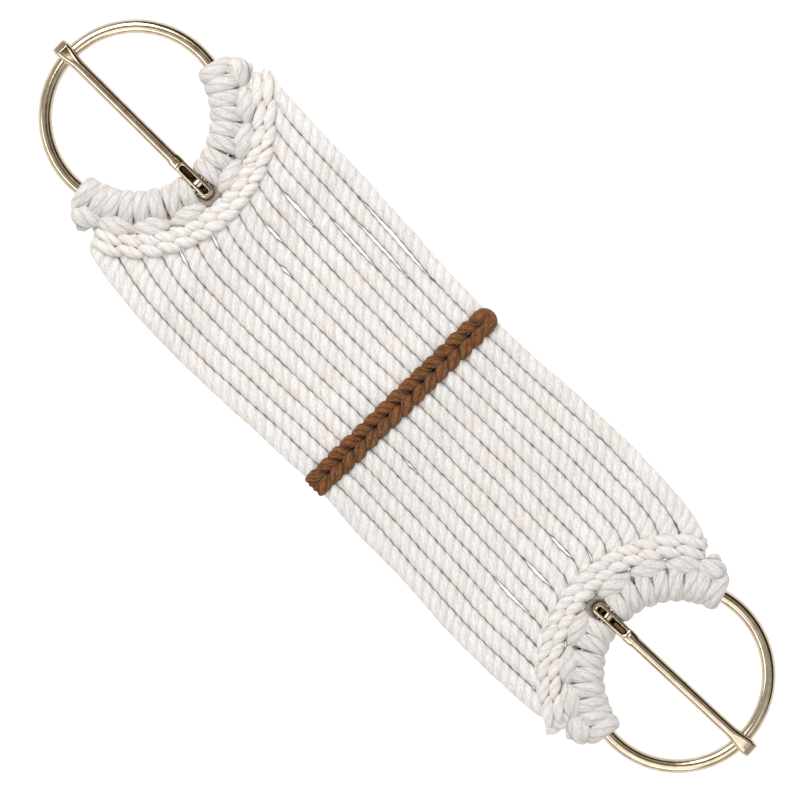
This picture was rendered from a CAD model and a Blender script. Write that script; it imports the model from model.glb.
import math

import bpy
import numpy as np
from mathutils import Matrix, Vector


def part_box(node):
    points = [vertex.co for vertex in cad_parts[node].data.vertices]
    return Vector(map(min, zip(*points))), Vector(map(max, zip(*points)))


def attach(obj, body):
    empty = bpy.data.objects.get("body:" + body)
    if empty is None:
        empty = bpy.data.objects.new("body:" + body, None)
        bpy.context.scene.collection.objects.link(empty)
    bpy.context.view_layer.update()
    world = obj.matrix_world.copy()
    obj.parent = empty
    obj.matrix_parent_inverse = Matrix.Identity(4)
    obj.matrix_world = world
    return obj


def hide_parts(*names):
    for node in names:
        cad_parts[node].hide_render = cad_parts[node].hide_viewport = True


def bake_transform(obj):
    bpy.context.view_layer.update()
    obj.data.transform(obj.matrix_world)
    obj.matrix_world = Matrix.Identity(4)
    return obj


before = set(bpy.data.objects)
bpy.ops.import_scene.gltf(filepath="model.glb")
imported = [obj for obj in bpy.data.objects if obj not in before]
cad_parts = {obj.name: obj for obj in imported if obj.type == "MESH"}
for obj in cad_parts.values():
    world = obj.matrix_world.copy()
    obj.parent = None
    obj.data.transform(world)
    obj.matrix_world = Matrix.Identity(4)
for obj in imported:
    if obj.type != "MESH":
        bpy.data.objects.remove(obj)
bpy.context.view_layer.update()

MM = 0.001
rng = np.random.default_rng(20)


# ---------------------------------------------------------------- sizes
def node_box(node):
    low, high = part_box(node)
    return np.array(low) / MM, np.array(high) / MM


ring_low, ring_high = node_box("ring_a")
RING = {"a": (ring_low + ring_high) / 2, "b": sum(node_box("ring_b")) / 2}
WIRE_R = (ring_high[2] - ring_low[2]) / 2
RING_R = (ring_high[1] - ring_low[1]) / 2 - WIRE_R
RING_Z = RING["a"][2]
RING_SIDE = RING["a"][1]
RING_SPAN = RING["b"][0] - RING["a"][0]
SIGN = {"a": -1, "b": 1}
TURN = {"a": math.radians(-1.3), "b": math.radians(180 + 6)}

HALF_COUNT = 7                  # cords on each side of the middle one
CORD_D = 7.2
CORD_R = CORD_D / 2
NECK_R = 3.1                    # radius of a cord inside the band
# Gaps between the cords: in the band, away from it and under the twined rows.
GAP_BAND, GAP_BODY, GAP_END = 0.2, 0.7, 0.5
PRESS = 0.28                    # how far each side of a cord is pressed into its neighbour
GROUND = 0.12                   # the lowest that a cord's surface goes
# Length of one turn of the twist, in the body's cords and in the others.
PLY_PITCH = 15.7
HITCH_PITCH = 2.2 * PLY_PITCH
UNDER_PITCH, EYE_CORD_PITCH, ROW_PITCH, BAND_PITCH, TAIL_PITCH = 40, 18, 30, 60, 40
LAY_Y = 1.2                     # sideways wave of the body

WRAP_T = RING_Z - WIRE_R        # the wraps lie on the ground
HITCHES = 8
HITCH_HALF = math.radians(82)   # half of the arc that the hitches take
BAR_D = 8
BAR_R = RING_R + WIRE_R + WRAP_T + 0.6
ROW_W = 4.6                     # width of a twined row
ROW_START = BAR_R + BAR_D / 2 + 0.1
FAN_R = ROW_START + 2 * ROW_W + 0.2
TONGUE_GAP = math.asin(4.5 / RING_R)
SNUG = math.radians(0.9)        # the inner hitches press a little towards the tongue
CORNER_LEAN = 0.45              # how far a corner hitch's legs are drawn in, in hitches
HITCH_ARC = (HITCH_HALF - TONGUE_GAP) / (HITCHES / 2)

EYE_END = RING_R + 9.3          # how far from the ring's centre a tongue's eye reaches

BAND_W = 11.4
BAND_T = 3
BAND_Z = NECK_R + BAND_T
BAND_END = HALF_COUNT * (CORD_D + GAP_BAND) + NECK_R + 0.9
HOLD_X = BAND_W / 2 + 0.5       # the band holds the cords side by side up to here
# Where the cords have spread, where the body's sideways wave has its top, and where the cords
# have come down from the band to the height at which they lie.
SPREAD_X, LAY_X, DROP_X = 90, 70, 34
LIE_Z = CORD_R + 0.2
LIFT_X = RING_SPAN / 2 - FAN_R - 31     # the cords begin to rise to the rings' height
RISE_X = LIFT_X + 29                    # and have reached it
JOIN_X = RING_SPAN / 2 - FAN_R - 17     # the body's course ends and the fan's begins


# ---------------------------------------------------------------- the cords' courses
def smooth(t):
    c = np.clip(t, 0, 1)
    return c * c * (3 - 2 * c)


def past(x):
    """How far x lies outside the band."""
    return np.maximum(np.abs(x) - HOLD_X, 0)


def pitch(x):
    """From one cord's middle to the next."""
    return CORD_D + GAP_BAND + (GAP_BODY - GAP_BAND) * smooth(past(x) / SPREAD_X)


def lay(x):
    """The body's own sideways wave."""
    return np.sign(x) * LAY_Y * np.sin(np.radians(np.minimum(90 * past(x) / LAY_X, 180)))


def height(x):
    """Height of the cords' middles."""
    down = (BAND_Z - LIE_Z) * (1 - smooth(past(x) / (DROP_X - HOLD_X)))
    up = (RING_Z - LIE_Z) * smooth((np.abs(x) - LIFT_X) / (RISE_X - LIFT_X))
    return LIE_Z + down + up


def bezier(a, b, c, d, n):
    t = np.linspace(0, 1, n)[:, None]
    return (1 - t) ** 3 * a + 3 * (1 - t) ** 2 * t * b + 3 * (1 - t) * t * t * c + t ** 3 * d


def unit(v):
    return v / np.linalg.norm(v, axis=-1, keepdims=True)


# How much closer together the outer cords are drawn under the twined rows, on -Y and on +Y.
TUCK = {"a": (0.032, -0.012), "b": (0.035, 0.028)}
# Where an edge of the body stands out, by its end and side: the place along X and how far.
BULGE = {("a", -1): (-22, 0.8), ("a", 1): (-50, 0.5), ("b", -1): (32, 1.4)}
BULGE_REACH = 16
# How far a corner hitch stands from its even place, in hitches.
CORNER_IN = {("a", 1): 0.08, ("b", 1): 0.16, ("b", 8): -0.12}


def tucked(j, end):
    """Place of the line j in the fan, counted in cords, with the outer ones drawn together."""
    share = np.where(np.asarray(j) < 0, *TUCK[end])
    return j * (1 - share * smooth((np.abs(j) - 3) / 4.5))


def seam_line(j, end):
    """The line between two cords, from the middle of the band to under the end's twined rows.
    j counts cords from the middle one, so a seam's j ends in a half."""
    s = SIGN[end]
    x = np.linspace(0, JOIN_X, 190) * s
    calm = smooth(past(x) / 12)
    wave = 0.13 * np.sin(x / 11 + 2.1 * j) + 0.1 * np.sin(x / 5.3 + 5.7 * j)
    body = np.stack([x, j * pitch(x) + lay(x) + wave * calm], 1)
    if abs(j) > HALF_COUNT and (end, np.sign(j)) in BULGE:
        at, much = BULGE[end, np.sign(j)]
        body[:, 1] += np.sign(j) * much * np.exp(-((x - at) / BULGE_REACH) ** 2)
    across = RING_R * math.sin(TURN[end]) + tucked(j, end) * (CORD_D + GAP_END)
    along = RING_SPAN / 2 - math.sqrt(FAN_R ** 2 - across ** 2)
    leave = np.array([s * along, RING_SIDE + across])
    kink = math.radians(15 - j if end == "a" else 33 + 0.6 * j)
    way = s * np.array([math.cos(kink), -math.sin(kink)])
    meet = body[-1]
    pull = 0.5 * np.linalg.norm(leave - meet)
    fan = bezier(meet, meet + [s * pull, 0], leave - 6.5 * way, leave, 60)
    inward = RING[end][:2] - leave
    depth = FAN_R - (EYE_END + 1.2 if abs(j) < 2 else ROW_START - 1.2)
    hidden = leave + unit(inward) * np.linspace(0, depth, 20)[1:, None]
    return np.concatenate([body, fan[1:], hidden])


# Where two neighbouring cords part and the ground shows: the seam, the middle and half length
# of the slit along X, and its width.
SLITS = {
    "a": [(6.5, -55, 30, 1.9), (5.5, -57, 24, 1.6), (4.5, -66, 19, 1.6), (3.5, -96, 15, 1.7),
          (1.5, -95.5, 8.5, 1.7), (-1.5, -110.5, 6, 1.4), (-3.5, -115, 6, 1.5),
          (0.5, -79.5, 5, 1.3)],
    "b": [(0.5, 98, 10, 1.6), (-1.5, 99, 11, 1.7), (-3.5, 98, 15, 1.7), (1.5, 110, 4, 0.9),
          (-2.5, 24, 7, 1.0)],
}


def slit_width(j, end, x):
    width = np.zeros_like(x)
    for at, middle, half, w in SLITS[end]:
        if at == j:
            t = np.clip((x - middle) / half, -1, 1)
            width += w * (1 - t * t) ** 1.5
    return width


def resample(points, others, step):
    """Even steps along points, with the other columns carried along."""
    run = np.concatenate([[0], np.cumsum(np.linalg.norm(np.diff(points, axis=0), axis=1))])
    at = np.linspace(0, run[-1], max(4, int(run[-1] / step) + 1))
    keep = [np.interp(at, run, c) for c in points.T]
    return np.stack(keep, 1), [np.interp(at, run, c) for c in others]


def cord_course(k, end):
    """Centre line, half widths and half heights of cord k's half on one side of the band."""
    low, high = seam_line(k - 0.5, end), seam_line(k + 0.5, end)
    low[:, 1] += slit_width(k - 0.5, end, low[:, 0]) / 2
    high[:, 1] -= slit_width(k + 0.5, end, high[:, 0]) / 2
    middle = (low + high) / 2
    ahead = unit(np.gradient(middle, axis=0))
    gap = high - low
    width = np.abs(gap[:, 0] * ahead[:, 1] - gap[:, 1] * ahead[:, 0])
    x = middle[:, 0]
    wave = 0.12 * np.sin(x / 9 + 3 * k) * smooth(past(x) / 15)
    z = height(x) + wave
    points, (width,) = resample(np.column_stack([middle, z]), [width], 0.6)
    squeeze = 1 - smooth(past(points[:, 0]) / 4)
    half_w = width / 2 + PRESS
    half_h = CORD_R * np.clip(CORD_R / (width / 2), 0.9, 1.12) - (CORD_R - NECK_R) * squeeze
    return points, half_w, half_h


# ---------------------------------------------------------------- cord meshes
def carried_frames(points, normals):
    """Tangents, and normals and sides square to them."""
    ahead = unit(np.gradient(points, axis=0))
    up = normals - ahead * np.sum(normals * ahead, 1, keepdims=True)
    up = unit(up)
    return ahead, up, np.cross(up, ahead)


class Cords:
    """Collects twisted cords into one mesh, with each vertex's place in the cord's own fibres."""

    def __init__(self):
        self.co, self.fibre, self.crease, self.seam = [], [], [], []
        self.quads, self.tris = [], []
        self.count = 0

    def add(self, points, normals, half_w, half_h, pitch_len, plies=3, depth=0.2, sides=42,
            round_end=2.0, taper=(True, True), seam=1.0, seam_at=0.9, sharp=0.9, deep=0.0,
            line=1.0):
        """One cord along points, twisted to the right. half_w is its half width across the
        normals and half_h along them, one for all points or one for each. seam is how dark its
        flanks are, from seam_at outwards, and may differ between the two. deep is how dark all
        of it is, for a cord at the bottom of a fold. depth is how deep the grooves between its
        plies are and line how strongly they are drawn."""
        n = len(points)
        half_w, half_h = (np.broadcast_to(np.asarray(h, float), n).copy() for h in (half_w, half_h))
        ahead, up, side = carried_frames(points, normals)
        run = np.concatenate([[0], np.cumsum(np.linalg.norm(np.diff(points, axis=0), axis=1))])
        start = rng.uniform(0, 2 * np.pi)
        slow = rng.uniform(0, 2 * np.pi, 2)
        twist = start + 2 * np.pi * run / pitch_len
        twist += 0.35 * np.sin(run / 17 + slow[0]) + 0.2 * np.sin(run / 6.5 + slow[1])
        for i, tapered in enumerate(taper):
            if tapered:
                from_end = run if i == 0 else run[-1] - run
                t = np.clip(from_end / round_end, 0, 1)
                shrink = np.sqrt(np.maximum(1 - (1 - t) ** 2, 0.02))
                half_w, half_h = half_w * shrink, half_h * shrink
        theta = 2 * np.pi * np.arange(sides) / sides
        ply = theta[None, :] - twist[:, None]
        valley = 1 - np.abs(np.cos(plies * ply / 2)) ** sharp
        lump = 1 + 0.02 * np.sin(run[:, None] / 2.3 + 2 * ply + slow[0])
        beside = smooth((np.abs(np.cos(theta)) - 0.75) / 0.25)
        rho = (1 - depth * valley * (1 - 0.6 * beside)) * lump
        across = (half_w[:, None] * rho * np.cos(theta))[:, :, None] * side[:, None, :]
        above = (half_h[:, None] * rho * np.sin(theta))[:, :, None] * up[:, None, :]
        co = points[:, None, :] + across + above
        co[..., 2] = np.maximum(co[..., 2], GROUND)
        fibre_at = theta[None, :] - 0.45 * twist[:, None]
        place = start * 7 + run[:, None] + 0 * fibre_at
        fibre = np.stack([np.cos(fibre_at), np.sin(fibre_at), place], 2)
        flank = smooth((np.abs(np.cos(theta)) - seam_at) / (1 - seam_at))
        seam = np.broadcast_to(np.asarray(seam, float), (n, 2))
        shade = np.where(np.cos(theta)[None, :] > 0, seam[:, :1], seam[:, 1:]) * flank
        uneven = 0.78 + 0.22 * np.sin(run / 4.1 + slow[1]) * np.sin(run / 9.7 + slow[0])
        shade = shade * uneven[:, None]
        self.co.append(co.reshape(-1, 3))
        self.fibre.append(fibre.reshape(-1, 3))
        self.crease.append(line * valley.reshape(-1))
        self.seam.append(np.maximum(shade, deep).reshape(-1))
        i, j = np.meshgrid(np.arange(n - 1), np.arange(sides), indexing="ij")
        after = (j + 1) % sides
        quads = np.stack([i * sides + j, i * sides + after, (i + 1) * sides + after,
                          (i + 1) * sides + j], 2).reshape(-1, 4)
        self.quads.append(quads + self.count)
        first = self.count
        self.count += n * sides
        self.cap(points[0], first, sides, True, start * 7)
        self.cap(points[-1], first + (n - 1) * sides, sides, False, run[-1] + start * 7)
        return self

    def cap(self, middle, first, sides, flip, place):
        """Closes the cord's end with a fan of triangles round its middle."""
        ring = first + np.arange(sides)
        self.co.append(middle[None, :])
        self.fibre.append(np.array([[0, 0, place]]))
        self.crease.append(np.array([0.4]))
        self.seam.append(np.array([0.0]))
        pair = (np.roll(ring, -1), ring) if flip else (ring, np.roll(ring, -1))
        self.tris.append(np.stack([pair[0], pair[1], np.full(sides, self.count)], 1))
        self.count += 1

    def make(self, name, material):
        """The collected cords as one object."""
        co = np.concatenate(self.co) * MM
        quads = np.concatenate(self.quads)
        tris = np.concatenate(self.tris)
        mesh = bpy.data.meshes.new(name)
        mesh.vertices.add(len(co))
        mesh.vertices.foreach_set("co", co.astype(np.float32).ravel())
        mesh.loops.add(quads.size + tris.size)
        loops = np.concatenate([quads.ravel(), tris.ravel()]).astype(np.int32)
        mesh.loops.foreach_set("vertex_index", loops)
        mesh.polygons.add(len(quads) + len(tris))
        starts = np.concatenate([np.arange(len(quads)) * 4, quads.size + np.arange(len(tris)) * 3])
        mesh.polygons.foreach_set("loop_start", starts.astype(np.int32))
        mesh.update(calc_edges=True)
        mesh.shade_smooth()
        fibre = mesh.attributes.new("fibre", "FLOAT_VECTOR", "POINT")
        fibre.data.foreach_set("vector", np.concatenate(self.fibre).astype(np.float32).ravel())
        for kind, values in (("crease", self.crease), ("seam", self.seam)):
            layer = mesh.attributes.new(kind, "FLOAT", "POINT")
            layer.data.foreach_set("value", np.concatenate(values).astype(np.float32))
        mesh.materials.append(material)
        made = bpy.data.objects.new(name, mesh)
        bpy.context.scene.collection.objects.link(made)
        return made


def to_world(end, points):
    """Points or directions of an end's own frame, turned to the girth's. The ring's place,
    RING[end], still has to be added to points."""
    c, s = math.cos(TURN[end]), math.sin(TURN[end])
    return np.stack([c * points[:, 0] - s * points[:, 1], s * points[:, 0] + c * points[:, 1],
                     points[:, 2]], 1)


def polar(radius, angle, z):
    return np.stack([radius * np.cos(angle), radius * np.sin(angle), z], 1)


def curve_through(rows, n):
    """A smooth course through the rows of control values (Catmull-Rom), n values long."""
    rows = np.asarray(rows, float)
    padded = np.concatenate([[2 * rows[0] - rows[1]], rows, [2 * rows[-1] - rows[-2]]])
    at = np.linspace(0, len(rows) - 1 - 1e-9, n)
    i = at.astype(int)
    t = (at - i)[:, None]
    a, b, c, d = (padded[i + m] for m in range(4))
    return 0.5 * (2 * b + (c - a) * t + (2 * a - 5 * b + 4 * c - d) * t ** 2
                  + (3 * b - a - 3 * c + d) * t ** 3)


# ---------------------------------------------------------------- materials
def new_material(name):
    material = bpy.data.materials.new(name)
    material.use_nodes = True
    tree = material.node_tree
    tree.nodes.clear()
    out = tree.nodes.new("ShaderNodeOutputMaterial")
    shader = tree.nodes.new("ShaderNodeBsdfPrincipled")
    tree.links.new(shader.outputs[0], out.inputs["Surface"])
    return material, tree, shader


def add_node(tree, kind, inputs=(), **settings):
    node = tree.nodes.new(kind)
    for key, value in settings.items():
        setattr(node, key, value)
    for key, value in dict(inputs).items():
        if isinstance(value, bpy.types.NodeSocket):
            tree.links.new(value, node.inputs[key])
        else:
            node.inputs[key].default_value = value
    return node


def colour_ramp(tree, factor, stops):
    ramp = add_node(tree, "ShaderNodeValToRGB", {0: factor})
    elements = ramp.color_ramp.elements
    while len(elements) < len(stops):
        elements.new(0.5)
    for element, (at, colour) in zip(elements, stops):
        element.position = at
        element.color = (*colour, 1)
    return ramp.outputs[0]


def mix(tree, kind, factor, a, b):
    node = add_node(tree, "ShaderNodeMix", data_type="RGBA", blend_type=kind)
    for index, value in ((0, factor), (6, a), (7, b)):
        if isinstance(value, bpy.types.NodeSocket):
            tree.links.new(value, node.inputs[index])
        else:
            node.inputs[index].default_value = value
    return node.outputs[2]


def fibre_material(name, yarn_light, yarn_dark, ply_line, flank, bump_strength, sheen, tint,
                   fine_scale=(11, 11, 0.8), yarn_scale=(4.6, 4.6, 0.17), fleck=0.78):
    """Twisted fibre: yarns and fine streaks along the twist, slow patches of tint, faint lines
    between the plies and dark flanks where cords lie against each other. fleck is how dark the
    fine streaks are."""
    material, tree, shader = new_material(name)
    fibre = add_node(tree, "ShaderNodeAttribute", attribute_name="fibre").outputs["Vector"]
    crease = add_node(tree, "ShaderNodeAttribute", attribute_name="crease").outputs["Fac"]
    seam = add_node(tree, "ShaderNodeAttribute", attribute_name="seam").outputs["Fac"]
    place = add_node(tree, "ShaderNodeTexCoord").outputs["Object"]

    def streaks(scale, detail):
        at = add_node(tree, "ShaderNodeVectorMath", {0: fibre, 1: scale}, operation="MULTIPLY")
        return add_node(tree, "ShaderNodeTexNoise", {"Vector": at.outputs[0], "Scale": 1.0,
                                                     "Detail": detail, "Roughness": 0.6}).outputs[0]

    fine, yarn = streaks(fine_scale, 2), streaks(yarn_scale, 2)
    patch = add_node(tree, "ShaderNodeTexNoise",
                     {"Vector": place, "Scale": 95.0, "Detail": 2, "Roughness": 0.5}).outputs[0]
    base = mix(tree, "MIX", colour_ramp(tree, yarn, [(0.38, (1, 1, 1)), (0.54, (0, 0, 0))]),
               (*yarn_light, 1), (*yarn_dark, 1))
    base = mix(tree, "MULTIPLY", 1.0, base,
               colour_ramp(tree, fine, [(0.32, (fleck, fleck, fleck)), (0.58, (1.03, 1.03, 1.03))]))
    base = mix(tree, "MULTIPLY", 1.0, base,
               colour_ramp(tree, patch, [(0.35, tint[0]), (0.5, (1, 1, 1)), (0.65, tint[1])]))
    deep = add_node(tree, "ShaderNodeMath", {0: crease, 1: 2.4}, operation="POWER").outputs[0]
    base = mix(tree, "MULTIPLY", deep, base, (*ply_line, 1))
    base = mix(tree, "MULTIPLY", seam, base, (*flank, 1))
    tree.links.new(base, shader.inputs["Base Color"])
    height = add_node(tree, "ShaderNodeMath", {0: fine, 1: yarn}, operation="ADD").outputs[0]
    bump = add_node(tree, "ShaderNodeBump", {"Height": height, "Strength": bump_strength,
                                             "Distance": 0.0005})
    tree.links.new(bump.outputs[0], shader.inputs["Normal"])
    shader.inputs["Roughness"].default_value = 0.92
    shader.inputs["Specular IOR Level"].default_value = 0.2
    shader.inputs["Sheen Weight"].default_value = sheen
    shader.inputs["Sheen Roughness"].default_value = 0.45
    return material


def metal_material(name):
    """Nickel plate with a warm tint, fine drawn lines and a little wear, tarnished in slots."""
    material, tree, shader = new_material(name)
    place = add_node(tree, "ShaderNodeTexCoord").outputs["Object"]
    wear = add_node(tree, "ShaderNodeTexNoise",
                    {"Vector": place, "Scale": 180.0, "Detail": 4, "Roughness": 0.6})
    scratch_at = add_node(tree, "ShaderNodeVectorMath", {0: place, 1: (260, 1900, 1900)},
                          operation="MULTIPLY")
    scratch = add_node(tree, "ShaderNodeTexNoise",
                       {"Vector": scratch_at.outputs[0], "Scale": 1.0, "Detail": 2})
    tarnish = add_node(tree, "ShaderNodeAttribute", attribute_name="tarnish").outputs["Fac"]
    colour = colour_ramp(tree, wear.outputs[0],
                         [(0.3, (0.52, 0.42, 0.29)), (0.6, (0.65, 0.55, 0.41))])
    colour = mix(tree, "MIX", tarnish, colour, (0.035, 0.017, 0.009, 1))
    tree.links.new(colour, shader.inputs["Base Color"])
    rough = add_node(tree, "ShaderNodeMapRange",
                     {"Value": wear.outputs[0], "From Min": 0.3, "From Max": 0.75, "To Min": 0.1,
                      "To Max": 0.2})
    tree.links.new(rough.outputs[0], shader.inputs["Roughness"])
    bump = add_node(tree, "ShaderNodeBump", {"Height": scratch.outputs[0], "Strength": 0.06,
                                             "Distance": 0.0002})
    tree.links.new(bump.outputs[0], shader.inputs["Normal"])
    shader.inputs["Metallic"].default_value = 1.0
    return material


cotton = fibre_material(
    "white cotton", yarn_light=(0.95, 0.915, 0.885), yarn_dark=(0.82, 0.785, 0.755),
    ply_line=(0.68, 0.66, 0.64), flank=(0.1, 0.08, 0.07), bump_strength=0.35, sheen=0.2,
    tint=((1, 0.975, 0.96), (0.98, 0.985, 0.985)))
roving = fibre_material(
    "white roving", yarn_light=(0.96, 0.92, 0.885), yarn_dark=(0.85, 0.81, 0.775),
    ply_line=(0.62, 0.6, 0.58), flank=(0.3, 0.27, 0.25), bump_strength=0.3, sheen=0.2,
    tint=((1, 0.965, 0.945), (0.98, 0.985, 0.975)))
brown = fibre_material(
    "brown wool", yarn_light=(0.37, 0.155, 0.053), yarn_dark=(0.16, 0.06, 0.02),
    ply_line=(0.45, 0.4, 0.36), flank=(0.1, 0.08, 0.07), bump_strength=0.9, sheen=0.15,
    tint=((1.15, 0.9, 0.8), (0.9, 1.0, 0.9)), fine_scale=(15, 15, 1.9),
    yarn_scale=(6, 6, 0.6), fleck=0.42)
nickel = metal_material("warm nickel")


# ---------------------------------------------------------------- body cords
UP = np.array([0.0, 0.0, 1.0])


def fan_node(k, end):
    group = "low" if k < -2 else "high" if k > 2 else "mid"
    return f"fan_cords_{end}_{group}"


def body_cords():
    for end in "ab":
        for k in range(-HALF_COUNT, HALF_COUNT + 1):
            number = k + HALF_COUNT + 1
            points, half_w, half_h = cord_course(k, end)
            low, high = float(k > -HALF_COUNT), float(k < HALF_COUNT)
            flanks = (low, high) if end == "a" else (high, low)
            made = Cords().add(points, np.tile(UP, (len(points), 1)), half_w, half_h,
                               PLY_PITCH * rng.uniform(0.95, 1.05), depth=0.125, sharp=1.1,
                               seam=flanks, seam_at=0.82, line=0.75)
            piece = made.make(f"body_cord_{number:02d}_{end}", cotton)
            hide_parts(f"cord_{number:02d}", fan_node(k, end))
            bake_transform(piece)


# ---------------------------------------------------------------- hitches
def hitch_course(middle, seed, toward):
    """One lark's head: leg, wrap, bar, wrap and leg. Each control row is radius, share of the
    hitch's arc, height, normal (radial, along, up), half width and half height. A corner hitch
    has its legs and the outer end of its bar drawn in by toward, a share of the arc."""
    local = np.random.default_rng(seed)
    wrap_off = WIRE_R + WRAP_T / 2
    rows = [(ROW_START + 3, 0.25, -0.5, 0, 0, 1, 3.3, 2.6),
            (BAR_R + 1.5, 0.25, -0.5, 0.2, 0, 1, 3.4, 2.5),
            (BAR_R - 2.0, 0.25, 1.6, 0.5, 0, 0.9, 3.6, 2.4)]
    for degrees in range(48, 300, 28):
        a = math.radians(degrees)
        lean = 0.25 + 0.008 * math.cos(a)
        rows.append((RING_R + wrap_off * math.cos(a), lean, wrap_off * math.sin(a), math.cos(a), 0,
                     math.sin(a), 3.8, WRAP_T / 2))
    rows += [(RING_R + 6.5, 0.28, -4.6, 0.3, 0, -1, 3.2, 2.4),
             (BAR_R + 0.3, 0.36, -3.6, 0.7, 0.5, -0.6, 2.5, 2.2),
             (BAR_R + 0.8, 0.43, -1.4, 0.6, 0.8, 0.2, 1.9, 2.2),
             (BAR_R + 0.7, 0.42, 0.9, 0.3, 0.6, 0.8, 2.4, 2.4),
             (BAR_R + 0.4, 0.27, 2.5, 0.1, 0.25, 1, 4.0, 3.1),
             (BAR_R + 0.4, 0.0, 3.5, 0.05, 0, 1, 4.9, 3.3)]
    rows = np.array(rows)
    back = rows[:-1][::-1].copy()
    back[:, [1, 4]] *= -1
    rows = np.concatenate([rows, back])
    outer = (np.abs(rows[:, 1]) > 0.35) & (rows[:, 1] * toward < 0)
    rows[[0, -1], 1] += toward
    rows[[1, -2], 1] += toward / 2
    if toward:      # it is fuller, its bar lies nearer the body and the bar's end is pulled in
        inner = np.abs(rows[:, 1]) < 0.35
        bar = inner & (rows[:, 2] > 2) & (rows[:, 0] > BAR_R)
        rows[inner, 6] *= 1.04
        rows[outer, 0] -= 1.5
        rows[outer, 1] += 0.32 * np.sign(toward)
        rows[bar, 0] += 0.5
        rows[bar & (rows[:, 1] * toward < 0), 1] += 0.16 * np.sign(toward)
    rows[3:-3, 0] += local.normal(0, 0.12, len(rows) - 6)
    rows[3:-3, 1] += local.normal(0, 0.006, len(rows) - 6)
    dense = curve_through(rows, 240)
    angle = middle + dense[:, 1] * HITCH_ARC
    points = polar(dense[:, 0], angle, dense[:, 2])
    radial, along = polar(1, angle, 0 * angle), polar(1, angle + np.pi / 2, 0 * angle)
    normals = dense[:, 3:4] * radial + dense[:, 4:5] * along + dense[:, 5:6] * UP
    return points, unit(normals), dense[:, 6], dense[:, 7]


def under_bar(end, start, toward):
    """The cord that lies hidden under a hitch's bar and closes the gap to the next hitch: its
    course, half width and half height. It stops short at the free side of a corner hitch."""
    low, high = (0.25 if toward > 0 else -0.08), (0.75 if toward < 0 else 1.08)
    angle = np.linspace(start + low * HITCH_ARC, start + high * HITCH_ARC, 24)
    points = polar(BAR_R - 1.6, angle, 0 * angle - 0.9)
    return to_world(end, points) + RING[end], np.tile(UP, (24, 1)), 3.0, 3.4


EYE_CORD_W, EYE_CORD_CLEAR = 2.0, 0.05


def round_eye(end):
    """Course of the cord that lies round the end of the tongue's eye, down between the hitches."""
    turn = np.linspace(-np.pi / 2, np.pi / 2, 30)
    around = EYE_W / 2 + EYE_CORD_W + EYE_CORD_CLEAR
    leg = np.linspace(-3.5, -0.2, 8)
    x = np.concatenate([leg, around * np.cos(turn), leg[::-1]]) + EYE_END - EYE_W / 2 - 0.6
    y = np.concatenate([0 * leg - around, around * np.sin(turn), 0 * leg + around])
    c, s = math.cos(YAW[end]), math.sin(YAW[end])
    points = np.stack([c * (x - RING_R) - s * y + RING_R, s * (x - RING_R) + c * y, 0 * x - 0.4], 1)
    return to_world(end, points) + RING[end], np.tile(UP, (len(points), 1))


def hitches():
    half = HITCHES // 2
    for end in "ab":
        for n in range(1, HITCHES + 1):
            if n <= half:
                start = -HITCH_HALF + (n - 1) * HITCH_ARC
            else:
                start = TONGUE_GAP + (n - 1 - half) * HITCH_ARC
            toward = CORNER_LEAN if n == 1 else -CORNER_LEAN if n == HITCHES else 0
            start += CORNER_IN.get((end, n), 0) * HITCH_ARC
            if n in (half, half + 1):
                start += SNUG * (1 if n == half else -1)
            seed = 60 + 40 * SIGN[end] + n      # for the hitch's own small unevenness
            points, normals, half_w, half_h = hitch_course(start + HITCH_ARC / 2, seed, toward)
            flanks = np.full((len(points), 2), 0.85)
            if toward:
                free = slice(0, len(points) // 2) if toward < 0 else slice(len(points) // 2, None)
                flanks[free, 1] = 0.05
            made = Cords().add(to_world(end, points) + RING[end], to_world(end, normals), half_w,
                               half_h, HITCH_PITCH, plies=5, depth=0.05, sharp=0.8, seam=flanks,
                               seam_at=0.8, deep=0.12, line=1.0)
            made.add(*under_bar(end, start, toward), UNDER_PITCH, depth=0.05, seam=0, deep=0.75,
                     round_end=1.0)
            piece = made.make(f"hitch_cord_{end}_{n}", cotton)
            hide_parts(f"hitch_{end}_{n}")
            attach(piece, "end_" + end)


# ---------------------------------------------------------------- twined rows
def twined_pair(course, reach, lean, lift, half_w, half_h, on_top, shingle=0.0, per_cord=26):
    """Two strands twined over and under a row of cords. course(t) gives the row's centre and
    its direction across at t, counted in cords from the middle one, between the two ends in reach.
    Each lobe stays up past its own cord by more where on_top is larger, and shingle is how far
    its -t end lies over the lobe before it."""
    low, high = reach
    t = np.linspace(low, high, int((high - low) * per_cord))
    centre, outward = course(t)
    for strand in (0, 1):
        turn = np.pi * (t + strand)
        rise = lift * np.tanh(2.6 * (np.cos(turn) + on_top)) - shingle * np.sin(turn)
        drift = 0.2 * np.sin(1.7 * t + 2 * strand)
        near_end = np.maximum(t - high, low - t) + 0.5
        rise = rise * np.sqrt(1 - 0.98 * np.clip(near_end / 0.5, 0, 1) ** 2)
        points = centre + outward * (lean * np.sin(turn) + drift)[:, None] + UP * rise[:, None]
        normals = outward * (0.5 * np.sin(turn))[:, None] + UP * np.cos(turn)[:, None]
        yield points, unit(normals), half_w * (1 + 0.1 * np.cos(2 * turn)), half_h


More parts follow.
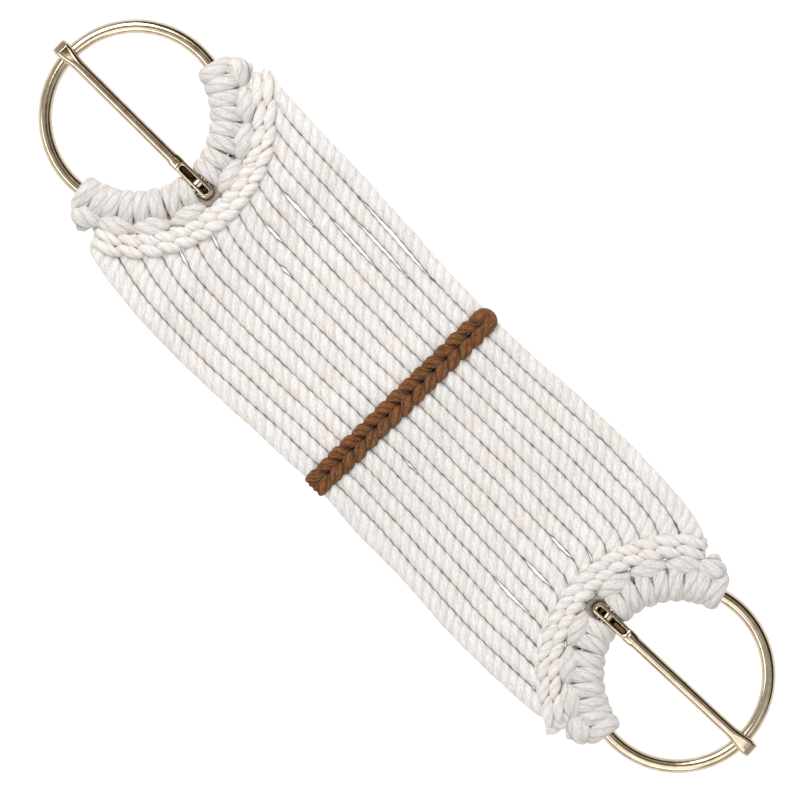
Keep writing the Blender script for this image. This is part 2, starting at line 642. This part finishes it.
def twined_rows():
    pitch_end = CORD_D + GAP_END
    reach = (-HALF_COUNT - 0.5, HALF_COUNT + 0.5)
    for end in "ab":
        for row, name in enumerate(("inner", "outer")):
            radius = ROW_START + ROW_W / 2 + row * (ROW_W + 0.1)

            def course(t):
                side = -SIGN[end]
                angle = np.arcsin(side * tucked(side * t, end) * pitch_end / FAN_R)
                return polar(radius, angle, 0 * t), polar(1, angle, 0 * t)

            made = Cords()
            strands = twined_pair(course, reach, lean=1.2, lift=4.5, half_w=2.35, half_h=1.95,
                                  on_top=0.2)
            for points, normals, half_w, half_h in strands:
                made.add(to_world(end, points) + RING[end], to_world(end, normals), half_w, half_h,
                         ROW_PITCH, depth=0.045, sharp=1.3, seam=0.22, seam_at=0.84, line=0.65)
            if name == "inner":
                made.add(*round_eye(end), EYE_CORD_W, 3.4, EYE_CORD_PITCH, depth=0.04, seam=0.9,
                         deep=0.88)
            piece = made.make(f"twined_row_{end}_{name}", roving)
            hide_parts(f"twine_{end}_{name}")
            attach(piece, "end_" + end)


def band():
    step = CORD_D + GAP_BAND
    reach = (-HALF_COUNT - 0.5, HALF_COUNT + 0.1)
    for s, name, lean in ((-1, "a", 1.5), (1, "b", 1.8)):
        def course(t):
            centre = np.stack([s * BAND_W / 4 + 0 * t, t * step, BAND_Z + 0 * t], 1)
            return centre, np.tile(np.array([-float(s), 0, 0]), (len(t), 1))

        made = Cords()
        strands = twined_pair(course, reach, lean=lean, lift=NECK_R + 0.6, half_w=2.75,
                              half_h=1.7, on_top=-0.05, shingle=1.0)
        for points, normals, half_w, half_h in strands:
            made.add(points, normals, half_w, half_h, BAND_PITCH, plies=5, depth=0.05, sharp=1.2,
                     seam=1.0, seam_at=0.84, round_end=1.0)
        piece = made.make(f"band_cord_{name}", brown)
        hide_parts(f"band_row_{name}")
        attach(piece, "middle")
    turn = Cords()
    inner, tip = BAND_END - 3.4, 2.2    # where the turn leaves the rows, how far it goes on
    for side in (-1, 1):
        a = np.linspace(-np.pi / 2, np.pi / 2, 40)
        across = BAND_W / 4 * np.sin(a)
        round_end = inner + tip * np.cos(a)
        run_in = np.linspace(-5, -0.3, 10)
        xs = np.concatenate([-BAND_W / 4 + 0 * run_in, across, BAND_W / 4 + 0 * run_in])
        ys = np.concatenate([inner + run_in, round_end, inner + run_in[::-1]])
        fall = smooth((ys - BAND_END + 8.5) / 4)
        close = smooth((ys - inner) / tip)
        zs = BAND_Z + side * (1.2 + 2.6 * fall - 2.0 * close)
        points = np.stack([xs, ys, zs], 1)
        turn.add(points, np.tile(side * UP, (len(points), 1)), half_w=2.9, half_h=2.5,
                 pitch_len=BAND_PITCH, plies=5, depth=0.05, seam=0.9, seam_at=0.86)
    y = np.linspace(BAND_END - 6, BAND_END - 0.2, 12)   # the core that fills the two loops
    turn.add(np.stack([0 * y, y, BAND_Z + 0 * y], 1), np.tile(UP, (12, 1)), half_w=4.6,
             half_h=5.2, pitch_len=BAND_PITCH, plies=5, depth=0.05, round_end=3.5, seam=0.9)
    piece = turn.make("band_turn_cord", brown)
    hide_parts("band_turn")
    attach(piece, "middle")
    tail = Cords()
    for n in range(4):
        x = (n - 1.5) * 2.3
        y = np.linspace(-BAND_END + 7, -BAND_END - 0.8 + 0.3 * math.sin(5 * n), 16)
        z = BAND_Z + 2.4 - 1.4 * smooth((-BAND_END + 4 - y) / 5) - 0.35 * abs(n - 1.5)
        points = np.stack([x * (1 + 0.03 * (y + BAND_END)), y, z], 1)
        tail.add(points, np.tile(UP, (16, 1)), half_w=1.5, half_h=3.0, pitch_len=TAIL_PITCH,
                 plies=4, depth=0.1, round_end=2.0, taper=(True, False), seam=0.8)
    piece = tail.make("band_tail_cord", brown)
    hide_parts("band_tail")
    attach(piece, "middle")


# ---------------------------------------------------------------- metal
# The tongue in its own frame has the wire's centre at the origin and its tip on +X.
BORE_R = WIRE_R + 0.65
EYE_R = BORE_R + 2.1
EYE_W = 6.4
EYE_STRETCH = 3.4
SLOT_FRONT, SLOT_W, SLOT_FALL = 10.4, 2.4, 0.38
ROD_D = 5.6
ROD_Z = WIRE_R + 0.3 + ROD_D / 2
STRAP_X, STRAP_T = SLOT_FRONT + 3.6, 3.6
EDGE = 2 * RING_R + WIRE_R
FLARE_X = EDGE - 2 * WIRE_R - 4
TIP_W, TIP_T, TIP_OVER, TIP_DROP = 7.8, 4.4, 3.6, 1.6
TIP_Z = WIRE_R + 0.3 + 0.5 + TIP_T / 2
YAW = {"a": math.radians(2.4), "b": math.radians(-3.1)}


def join(a, b, k):
    """The nearer of two distances, with a fillet of about k."""
    h = np.maximum(k - np.abs(a - b), 0) / k
    return np.minimum(a, b) - h * h * k / 4


def both(a, b, k):
    return -join(-a, -b, k)


def round_cone(p, q, a, b, ra, rb):
    """Distance in a plane from (p, q) to a tapered bar from a to b."""
    dx, dy = b[0] - a[0], b[1] - a[1]
    length = math.hypot(dx, dy)
    u = ((p - a[0]) * dx + (q - a[1]) * dy) / length
    v = np.abs((p - a[0]) * dy - (q - a[1]) * dx) / length
    slope = (ra - rb) / length
    lean = math.sqrt(1 - slope * slope)
    return np.where(u * lean < -v * slope, np.hypot(u, v) - ra,
                    np.where(u - v * slope / lean > length, np.hypot(u - length, v) - rb,
                             v * lean + u * slope - ra))


def slot_distance(x, y):
    return round_cone(x, y, (-EYE_STRETCH - 1.7, 0), (SLOT_FRONT - 1, 0), SLOT_W / 2, SLOT_W / 2)


def tongue_distance(x, y, z):
    eye = round_cone(x, z, (-EYE_STRETCH, 0), (0, 0), EYE_R, EYE_R)
    strap = round_cone(x, z, (0, 0), (STRAP_X, ROD_Z), EYE_R, STRAP_T / 2)
    low = round_cone(x, z, (-EYE_STRETCH, 0), (STRAP_X, ROD_Z), EYE_R, STRAP_T / 2)
    side = np.minimum(np.minimum(eye, strap), low)
    plan = round_cone(x, y, (-EYE_R - EYE_STRETCH + EYE_W / 2, 0), (STRAP_X + 3, 0), EYE_W / 2,
                      EYE_W / 2 - 0.35)
    head = both(side, plan, 1.6)
    t = smooth((x - FLARE_X) / (EDGE + 0.5 - FLARE_X))
    over = np.clip((x - EDGE - 0.5) / (TIP_OVER - 0.5), 0, 1.2)
    wide = ROD_D + (TIP_W - ROD_D) * t - 0.6 * over
    thick = ROD_D + (TIP_T - ROD_D) * t - 0.8 * over
    middle = ROD_Z + (TIP_Z - ROD_Z) * t - TIP_DROP * over
    rod = np.hypot(np.maximum(np.abs(y) - (wide - thick) / 2, 0), z - middle) - thick / 2
    rod = both(rod, SLOT_FRONT + 1.6 - x, 1.0)
    rod = both(rod, x - EDGE - TIP_OVER, 1.2)
    whole = join(head, rod, 1.4)
    bore = round_cone(x, z, (1 - EYE_STRETCH, 0), (0, 0), BORE_R, BORE_R)
    whole = both(whole, -bore, 0.6)
    return both(whole, -both(slot_distance(x, y), SLOT_FALL * x - z, 0.5), 0.7)


def surface(distance, low, high, cell):
    """Points, normals and quads of the surface where distance is zero."""
    grid = np.meshgrid(*(np.arange(a, b, cell) for a, b in zip(low, high)), indexing="ij")
    value = distance(*grid)
    total = np.zeros(tuple(n - 1 for n in value.shape) + (3,))
    count = np.zeros(total.shape[:3])
    crossings = []
    for axis in range(3):
        other = [a for a in range(3) if a != axis]
        near = [slice(1, -1)] * 3
        near[axis] = slice(0, -1)
        far = list(near)
        far[axis] = slice(1, None)
        a, b = value[tuple(near)], value[tuple(far)]
        at = np.argwhere((a < 0) != (b < 0))
        where = tuple(at.T)
        share = a[where] / (a[where] - b[where])
        index = at.copy()
        index[:, other] += 1
        place = np.asarray(low) + index * cell
        place[:, axis] += share * cell
        around = []
        for shift in ((0, 0), (1, 0), (1, 1), (0, 1)):
            box = index.copy()
            box[:, other] -= np.array(shift)
            np.add.at(total, tuple(box.T), place)
            np.add.at(count, tuple(box.T), 1)
            around.append(box)
        crossings.append((np.stack(around, 1), (a[where] < 0) ^ (axis == 1)))
    used = count > 0
    number = np.full(count.shape, -1)
    number[used] = np.arange(used.sum())
    points = total[used] / count[used][:, None]
    quads = []
    for boxes, flip in crossings:
        quad = number[boxes[..., 0], boxes[..., 1], boxes[..., 2]]
        quad[~flip] = quad[~flip][:, ::-1]
        quads.append(quad)

    def slope(p):
        e = 0.02
        steps = np.eye(3) * e
        return np.stack([(distance(*(p + d).T) - distance(*(p - d).T)) / (2 * e) for d in steps], 1)

    for _ in range(4):
        g = slope(points)
        off = distance(*points.T) / np.maximum(np.sum(g * g, 1), 0.2)
        points = points - np.clip(off, -cell / 2, cell / 2)[:, None] * g
    return points, unit(slope(points)), np.concatenate(quads)


def metal():
    # The box that holds a tongue, and its cells' size.
    low, high, cell = (-10.5, -5, -7), (EDGE + TIP_OVER + 1, 5, 10.2), 0.36
    points, normals, quads = surface(tongue_distance, low, high, cell)
    x, y, z = points.T
    inside = slot_distance(x, y)
    wall = (inside < 0.2) & (np.abs(normals[:, 2]) < 0.8)
    tarnish = np.where((wall | (inside < -0.2)) & (z > SLOT_FALL * x - 0.7), 1.0, 0.0)
    for end in "ab":
        yaw = math.pi + YAW[end]
        turn = np.array([[math.cos(yaw), math.sin(yaw), 0], [-math.sin(yaw), math.cos(yaw), 0],
                         [0, 0, 1]])
        placed = to_world(end, points @ turn + [RING_R, 0, 0]) + RING[end]
        mesh = bpy.data.meshes.new("tongue")
        mesh.from_pydata((placed * MM).tolist(), [], quads.tolist())
        mesh.shade_smooth()
        mesh.normals_split_custom_set_from_vertices(to_world(end, normals @ turn).tolist())
        layer = mesh.attributes.new("tarnish", "FLOAT", "POINT")
        layer.data.foreach_set("value", tarnish.astype(np.float32))
        mesh.materials.append(nickel)
        piece = bpy.data.objects.new(f"tongue_metal_{end}", mesh)
        bpy.context.scene.collection.objects.link(piece)
        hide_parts("tongue_" + end)
        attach(piece, "tongue_" + end)
        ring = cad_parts["ring_" + end]
        ring.data.materials.clear()
        ring.data.materials.append(nickel)


# ---------------------------------------------------------------- stage
def card(name, place, size, colour, strength=0.0):
    """A flat card that faces the girth; only reflections see it."""
    mesh = bpy.data.meshes.new(name)
    w, h = size[0] / 2, size[1] / 2
    mesh.from_pydata([(-w, -h, 0), (w, -h, 0), (w, h, 0), (-w, h, 0)], [], [(0, 1, 2, 3)])
    holder = bpy.data.objects.new(name, mesh)
    holder.location = place
    holder.rotation_euler = Vector(place).to_track_quat("Z", "Y").to_euler()
    material, _, shader = new_material(name)
    shader.inputs["Base Color"].default_value = (*colour, 1)
    shader.inputs["Roughness"].default_value = 1.0
    shader.inputs["Emission Color"].default_value = (1, 1, 1, 1)
    shader.inputs["Emission Strength"].default_value = strength
    mesh.materials.append(material)
    holder.visible_camera = False
    holder.visible_diffuse = False
    holder.visible_shadow = False
    bpy.context.scene.collection.objects.link(holder)


def soft_box(name, place, size, power):
    light = bpy.data.lights.new(name, "AREA")
    light.shape = "RECTANGLE"
    light.size, light.size_y = size
    light.energy = power
    holder = bpy.data.objects.new(name, light)
    holder.location = place
    holder.rotation_euler = Vector(place).to_track_quat("Z", "Y").to_euler()
    bpy.context.scene.collection.objects.link(holder)


def stage():
    scene = bpy.context.scene
    size = 8.0
    mesh = bpy.data.meshes.new("floor")
    mesh.from_pydata([(-size, -size, 0), (size, -size, 0), (size, size, 0), (-size, size, 0)], [],
                     [(0, 1, 2, 3)])
    floor = bpy.data.objects.new("floor", mesh)
    scene.collection.objects.link(floor)
    material, _, shader = new_material("pale floor")
    shader.inputs["Base Color"].default_value = (0.25, 0.25, 0.25, 1)
    shader.inputs["Roughness"].default_value = 0.9
    shader.inputs["Specular IOR Level"].default_value = 0.0
    shader.inputs["Emission Color"].default_value = (1, 1, 1, 1)
    shader.inputs["Emission Strength"].default_value = 0.9
    mesh.materials.append(material)

    world = bpy.data.worlds.new("studio")
    world.use_nodes = True
    world.node_tree.nodes["Background"].inputs[0].default_value = (1, 1, 1, 1)
    world.node_tree.nodes["Background"].inputs[1].default_value = 0.5
    scene.world = world
    soft_box("key", (-0.9, 0.35, 1.2), (0.9, 0.9), 14.5)
    soft_box("fill", (0.8, -0.5, 1.4), (1.2, 1.2), 6)
    card("dark card", (0.1, 1.0, 0.5), (4.0, 0.9), (0.03, 0.018, 0.01))
    card("dark card above", (-0.2, 0.3, 1.6), (1.2, 0.5), (0.1, 0.055, 0.025))
    card("light card", (0.1, -1.0, 0.75), (3.0, 0.4), (1, 1, 1), 2.0)


def camera():
    """Straight down on the girth, which lies from the upper left to the lower right."""
    scene = bpy.context.scene
    data = bpy.data.cameras.new("camera")
    holder = bpy.data.objects.new("camera", data)
    distance = 3.0
    view_w = 0.3629
    centre_x, centre_y = -0.00094, -0.00081
    turned = math.radians(45.86)
    holder.location = (centre_x, centre_y, distance + RING_Z * MM)
    holder.rotation_euler = (0, 0, turned)
    data.sensor_width = 36
    data.lens = data.sensor_width * distance / view_w
    data.clip_end = 20
    scene.collection.objects.link(holder)
    scene.camera = holder
    scene.view_settings.view_transform = "Standard"


body_cords()
hitches()
twined_rows()
band()
metal()
stage()
camera()
